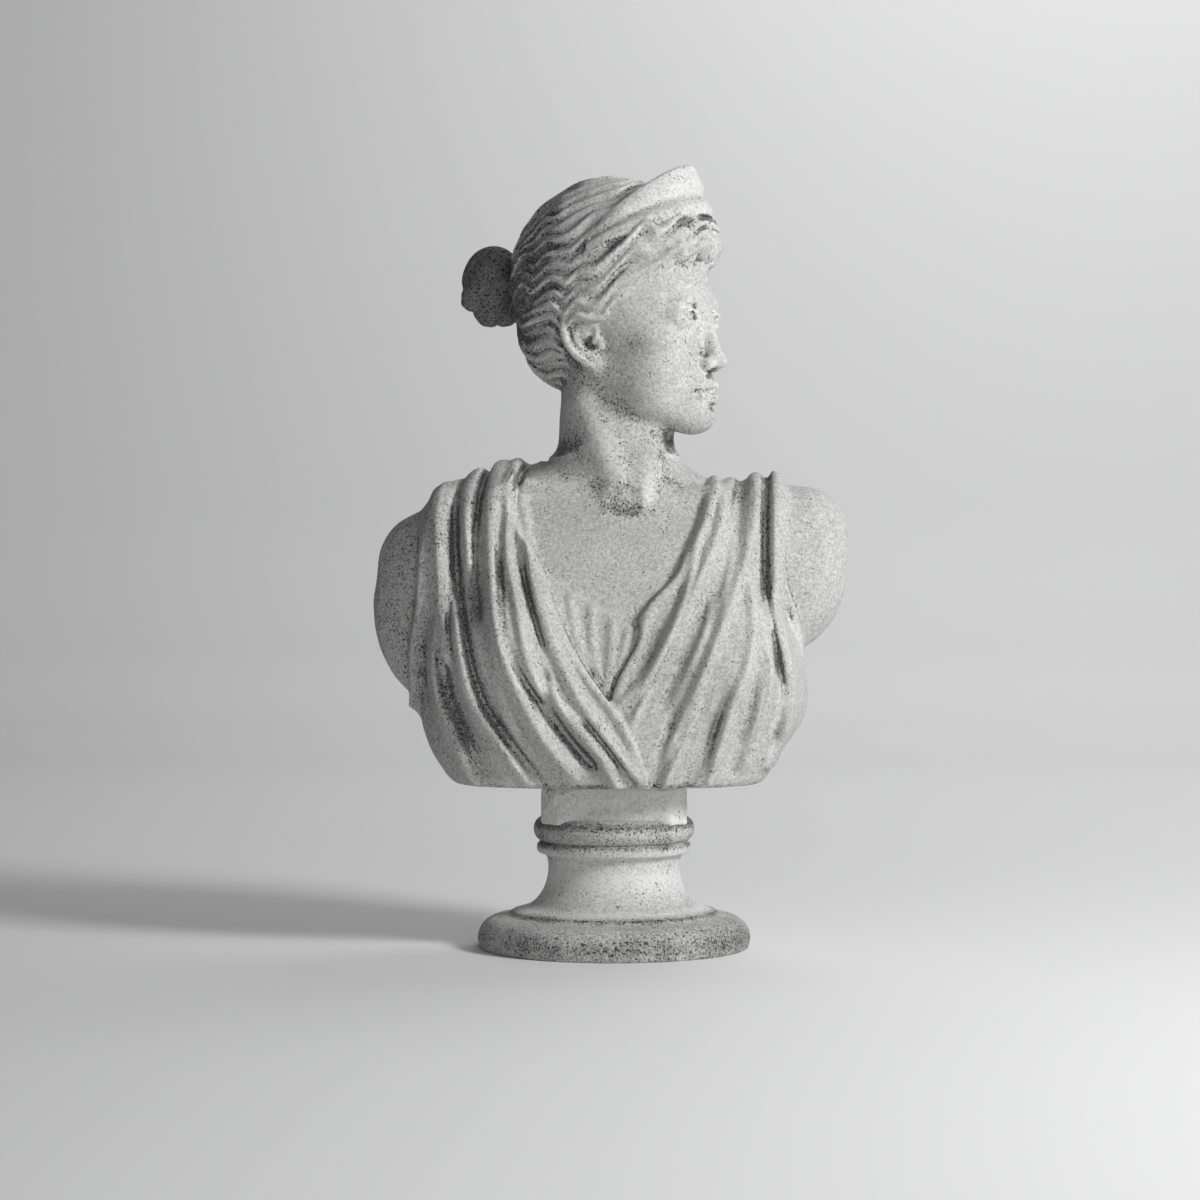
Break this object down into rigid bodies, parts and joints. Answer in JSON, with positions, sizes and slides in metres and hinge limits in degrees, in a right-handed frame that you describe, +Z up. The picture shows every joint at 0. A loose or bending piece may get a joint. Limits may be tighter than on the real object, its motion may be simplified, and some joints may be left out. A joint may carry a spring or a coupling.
{
  "type": "portrait bust",
  "caption": "Life-size draped classical bust of a woman in cast stone, head turned to one side, with a diadem and a hair knot, on a turned socle.",
  "frame": {"origin": "centre of the socle's round underside, on the ground", "axes": "+Z up, -Y towards the viewer in front of the chest, +X towards the side that the face is turned to"},
  "size_m": [0.4649, 0.268, 0.7602],
  "materials": {
    "bust_stone": "matte, worn, speckled",
    "socle_stone": "matte, worn, speckled"
  },
  "bodies": {
    "root": {"bust": "bust_stone", "socle": "socle_stone"}
  },
  "joints": []
}
